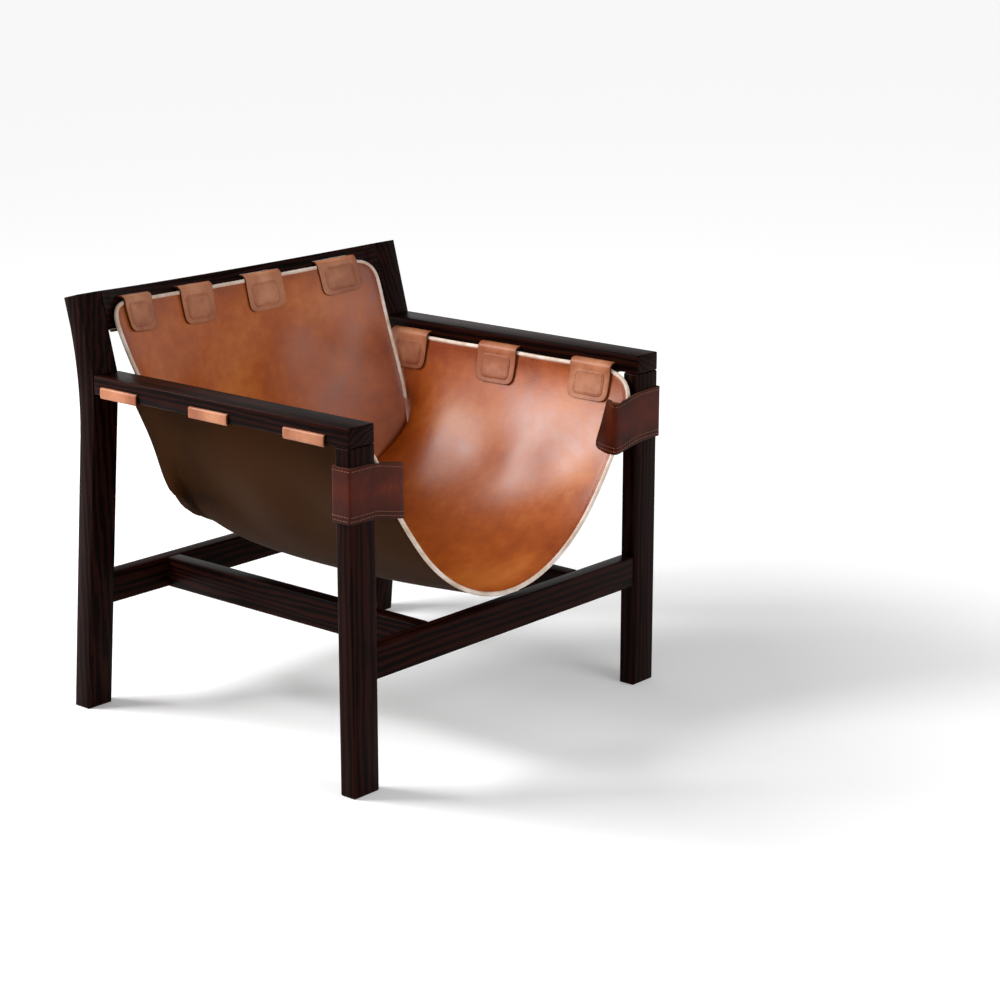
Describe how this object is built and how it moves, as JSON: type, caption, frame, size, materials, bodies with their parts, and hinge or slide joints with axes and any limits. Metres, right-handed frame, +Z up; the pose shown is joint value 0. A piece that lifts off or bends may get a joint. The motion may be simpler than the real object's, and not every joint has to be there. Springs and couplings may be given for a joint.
{
  "type": "lounge chair",
  "caption": "Low lounge chair: a leather sling hung by looped tabs in a dark wood frame with flat arms, leaning back posts, a bowed back rail and low stretchers.",
  "frame": {"origin": "middle of the chair's box in plan, on the floor", "axes": "+Z up, -Y the way the sitter faces, +X to the sitter's left"},
  "size_m": [0.7226, 0.6634, 0.677],
  "materials": {
    "wood": "oiled gloss",
    "hide": "polished",
    "piping_leather": "matt",
    "tab_leather": "satin",
    "strap_leather": "satin"
  },
  "bodies": {
    "root": {"front_leg_right": "wood", "back_post_right": "wood", "arm_right": "wood", "side_stretcher_right": "wood", "corner_strap_right": "strap_leather", "arm_tab_right_1": "tab_leather", "arm_tab_right_2": "tab_leather", "arm_tab_right_3": "tab_leather", "front_leg_left": "wood", "back_post_left": "wood", "arm_left": "wood", "side_stretcher_left": "wood", "corner_strap_left": "strap_leather", "arm_tab_left_1": "tab_leather", "arm_tab_left_2": "tab_leather", "arm_tab_left_3": "tab_leather", "front_stretcher": "wood", "back_stretcher": "wood", "back_rail": "wood", "back_tab_1": "tab_leather", "back_tab_2": "tab_leather", "back_tab_3": "tab_leather", "back_tab_4": "tab_leather", "sling": "hide", "seat_piping": "piping_leather", "back_piping": "piping_leather"}
  },
  "joints": []
}
